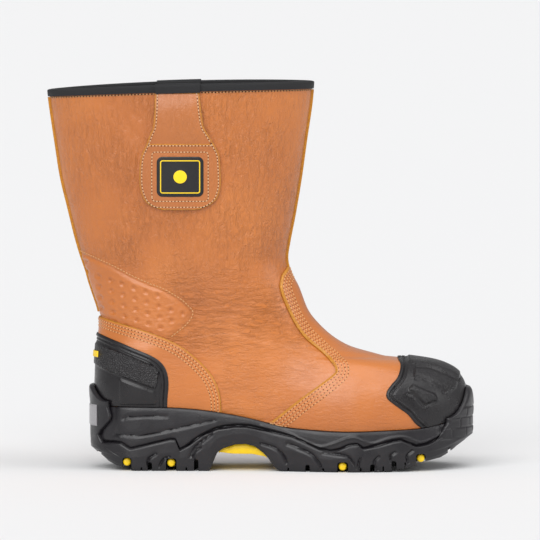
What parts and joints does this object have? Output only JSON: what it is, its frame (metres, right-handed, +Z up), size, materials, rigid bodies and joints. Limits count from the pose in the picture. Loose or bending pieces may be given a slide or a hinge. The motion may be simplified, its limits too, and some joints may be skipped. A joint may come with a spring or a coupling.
{
  "type": "rigger boot",
  "caption": "Pull-on rigger work boot for the right foot: tan leather shaft with pull straps, black scuff toe cap and heel counter, lugged rubber sole.",
  "frame": {"origin": "on the floor, under the middle of the boot's bounding box", "axes": "+Z up, +X towards the toe, +Y towards the inner (medial) side of the right foot"},
  "size_m": [0.3433, 0.1153, 0.3123],
  "materials": {
    "leather_upper": "oiled full-grain tan leather, fine creases, satin",
    "leather_strap": "smooth tan leather, satin, cream stitching",
    "leather_edge": "raw cut ochre leather edge, matt",
    "black_textile": "woven black tape, matt",
    "black_patch": "plain black moulded patch, semi-matt",
    "black_scuff_rubber": "black moulded rubber, semi-matt",
    "black_midsole": "black foamed rubber with a fine pebble, matt",
    "black_sole_rubber": "black rubber, semi-matt",
    "yellow_rubber": "yellow rubber, satin",
    "grey_reflector": "grey reflective strip, satin",
    "footbed": "dark grey brushed textile footbed, matt"
  },
  "bodies": {
    "root": {"arch_insert": "yellow_rubber", "back_seam": "leather_edge", "badge_lateral": "black_patch", "badge_medial": "black_patch", "collar_binding": "black_textile", "front_seam": "leather_edge", "heel_band": "leather_upper", "heel_bar": "yellow_rubber", "heel_counter": "black_scuff_rubber", "insole": "footbed", "lug_stud_lateral_0": "yellow_rubber", "lug_stud_lateral_2": "yellow_rubber", "lug_stud_lateral_5": "yellow_rubber", "lug_stud_lateral_8": "yellow_rubber", "lug_stud_medial_0": "yellow_rubber", "lug_stud_medial_2": "yellow_rubber", "lug_stud_medial_5": "yellow_rubber", "lug_stud_medial_8": "yellow_rubber", "midsole": "black_midsole", "outsole": "black_sole_rubber", "pull_strap_lateral": "leather_strap", "pull_strap_medial": "leather_strap", "reflector": "grey_reflector", "toe_cap": "black_scuff_rubber", "upper": "leather_upper", "vamp": "leather_upper", "webbing_lateral": "black_textile", "webbing_medial": "black_textile"}
  },
  "joints": []
}
